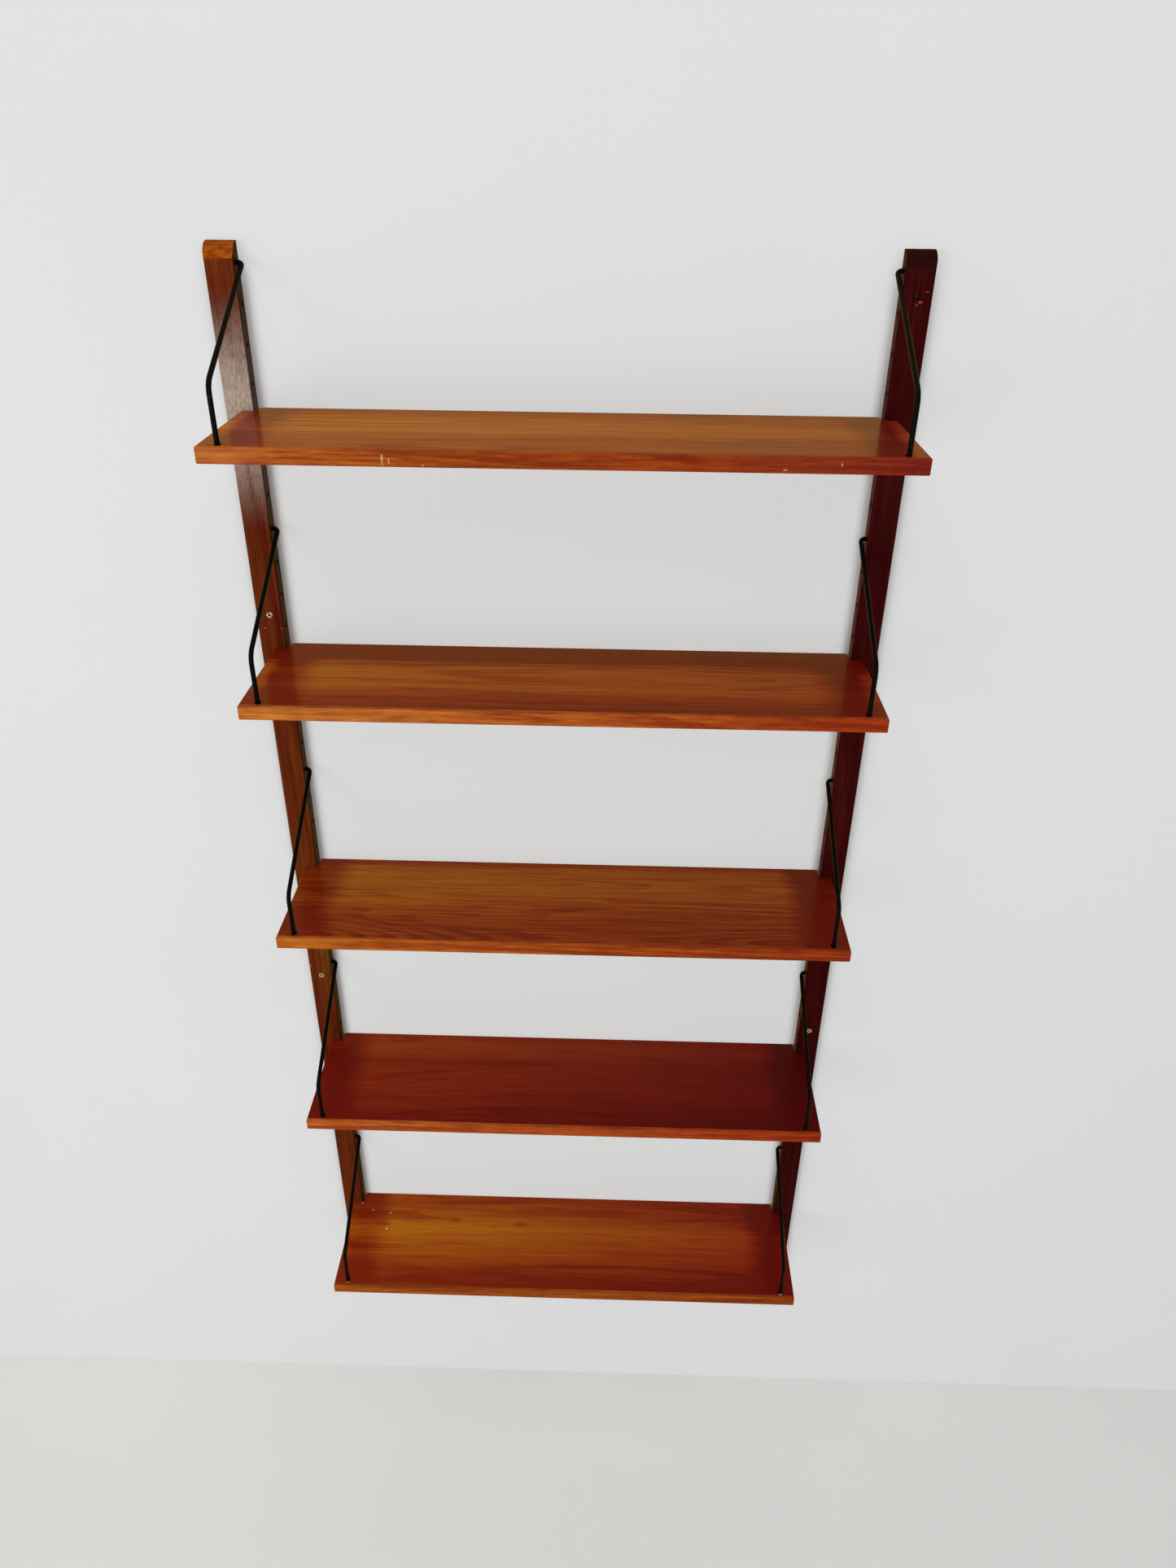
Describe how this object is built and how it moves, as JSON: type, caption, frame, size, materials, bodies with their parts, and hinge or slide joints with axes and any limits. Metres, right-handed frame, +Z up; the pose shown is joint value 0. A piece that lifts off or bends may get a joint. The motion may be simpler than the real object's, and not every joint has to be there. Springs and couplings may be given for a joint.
{
  "type": "ladder shelf",
  "caption": "Wall-hung ladder shelf: teak boards that rest on bent steel-wire brackets hooked into the drilled side faces of slim wooden uprights.",
  "frame": {"origin": "on the wall plane, midway between the uprights, level with their lower ends", "axes": "+X to the right along the boards, +Y into the wall, +Z up the uprights"},
  "size_m": [0.838, 0.2274, 1.8],
  "materials": {
    "teak_upright": "oiled teak, satin, long grain along the upright",
    "teak_veneer": "satin lacquered teak veneer, long grain along the board",
    "teak_lipping": "satin solid teak lipping, straight grain",
    "black_wire": "satin black lacquer on steel wire",
    "zinc_screw": "bright zinc-plated steel"
  },
  "bodies": {
    "frame": {"left_upright": "teak_upright", "right_upright": "teak_upright", "wall_screws": "zinc_screw"},
    "shelf_1": {"board_1": "teak_veneer", "lipping_1": "teak_lipping"},
    "shelf_2": {"board_2": "teak_veneer", "lipping_2": "teak_lipping"},
    "shelf_3": {"board_3": "teak_veneer", "lipping_3": "teak_lipping"},
    "shelf_4": {"board_4": "teak_veneer", "lipping_4": "teak_lipping"},
    "shelf_5": {"board_5": "teak_veneer", "lipping_5": "teak_lipping"},
    "bracket_1_left": {"bracket_1_left": "black_wire"},
    "bracket_2_left": {"bracket_2_left": "black_wire"},
    "bracket_3_left": {"bracket_3_left": "black_wire"},
    "bracket_4_left": {"bracket_4_left": "black_wire"},
    "bracket_5_left": {"bracket_5_left": "black_wire"},
    "bracket_1_right": {"bracket_1_right": "black_wire"},
    "bracket_2_right": {"bracket_2_right": "black_wire"},
    "bracket_3_right": {"bracket_3_right": "black_wire"},
    "bracket_4_right": {"bracket_4_right": "black_wire"},
    "bracket_5_right": {"bracket_5_right": "black_wire"}
  },
  "joints": [
    {"name": "shelf_1_lift", "type": "slide", "parent": "frame", "child": "shelf_1", "axis": [0, 0, 1], "range_m": [0, 0.045]},
    {"name": "shelf_2_lift", "type": "slide", "parent": "frame", "child": "shelf_2", "axis": [0, 0, 1], "range_m": [0, 0.045]},
    {"name": "shelf_3_lift", "type": "slide", "parent": "frame", "child": "shelf_3", "axis": [0, 0, 1], "range_m": [0, 0.045]},
    {"name": "shelf_4_lift", "type": "slide", "parent": "frame", "child": "shelf_4", "axis": [0, 0, 1], "range_m": [0, 0.045]},
    {"name": "shelf_5_lift", "type": "slide", "parent": "frame", "child": "shelf_5", "axis": [0, 0, 1], "range_m": [0, 0.045]},
    {"name": "bracket_1_left_unhook", "type": "hinge", "parent": "frame", "child": "bracket_1_left", "pos_m": [-0.377, -0.187, 1.5975], "axis": [0, 0, -1], "range_deg": [0, 2.27]},
    {"name": "bracket_2_left_unhook", "type": "hinge", "parent": "frame", "child": "bracket_2_left", "pos_m": [-0.377, -0.187, 1.2825], "axis": [0, 0, -1], "range_deg": [0, 2.27]},
    {"name": "bracket_3_left_unhook", "type": "hinge", "parent": "frame", "child": "bracket_3_left", "pos_m": [-0.377, -0.187, 0.9225], "axis": [0, 0, -1], "range_deg": [0, 2.27]},
    {"name": "bracket_4_left_unhook", "type": "hinge", "parent": "frame", "child": "bracket_4_left", "pos_m": [-0.377, -0.187, 0.5625], "axis": [0, 0, -1], "range_deg": [0, 2.27]},
    {"name": "bracket_5_left_unhook", "type": "hinge", "parent": "frame", "child": "bracket_5_left", "pos_m": [-0.377, -0.187, 0.1575], "axis": [0, 0, -1], "range_deg": [0, 2.27]},
    {"name": "bracket_1_right_unhook", "type": "hinge", "parent": "frame", "child": "bracket_1_right", "pos_m": [0.377, -0.187, 1.5975], "axis": [0, 0, 1], "range_deg": [0, 2.27]},
    {"name": "bracket_2_right_unhook", "type": "hinge", "parent": "frame", "child": "bracket_2_right", "pos_m": [0.377, -0.187, 1.2825], "axis": [0, 0, 1], "range_deg": [0, 2.27]},
    {"name": "bracket_3_right_unhook", "type": "hinge", "parent": "frame", "child": "bracket_3_right", "pos_m": [0.377, -0.187, 0.9225], "axis": [0, 0, 1], "range_deg": [0, 2.27]},
    {"name": "bracket_4_right_unhook", "type": "hinge", "parent": "frame", "child": "bracket_4_right", "pos_m": [0.377, -0.187, 0.5625], "axis": [0, 0, 1], "range_deg": [0, 2.27]},
    {"name": "bracket_5_right_unhook", "type": "hinge", "parent": "frame", "child": "bracket_5_right", "pos_m": [0.377, -0.187, 0.1575], "axis": [0, 0, 1], "range_deg": [0, 2.27]}
  ]
}
